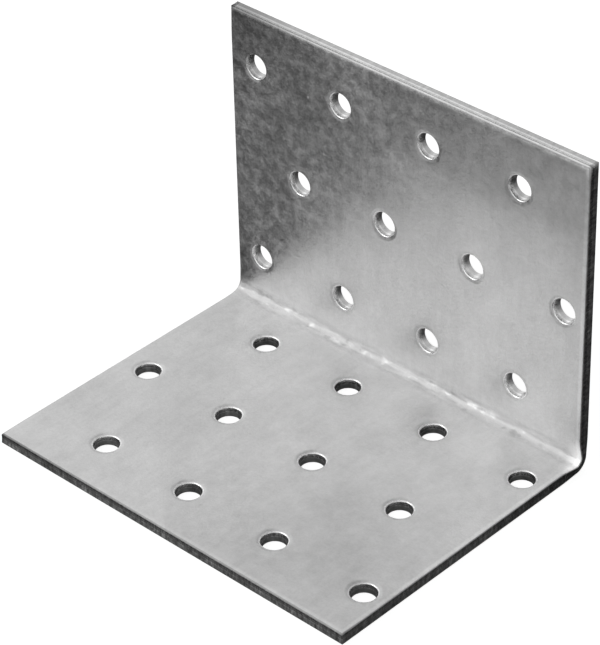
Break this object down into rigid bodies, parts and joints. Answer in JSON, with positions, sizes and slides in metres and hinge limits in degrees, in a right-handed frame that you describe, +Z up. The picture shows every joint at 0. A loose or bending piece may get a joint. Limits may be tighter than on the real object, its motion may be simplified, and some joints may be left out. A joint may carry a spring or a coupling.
{
  "type": "perforated angle bracket",
  "caption": "Right-angled connector folded from galvanised sheet steel, with staggered nail holes in both legs, for joining timbers.",
  "frame": {"origin": "middle of the footprint on the underside of the base leg", "axes": "+X along the fold, +Y towards the back of the upright leg, +Z up the upright leg"},
  "size_m": [0.08, 0.062, 0.0615],
  "materials": {
    "galvanised_steel": "satin zinc coating with a faint cloudy grain"
  },
  "bodies": {
    "root": {"angle_bracket": "galvanised_steel"}
  },
  "joints": []
}
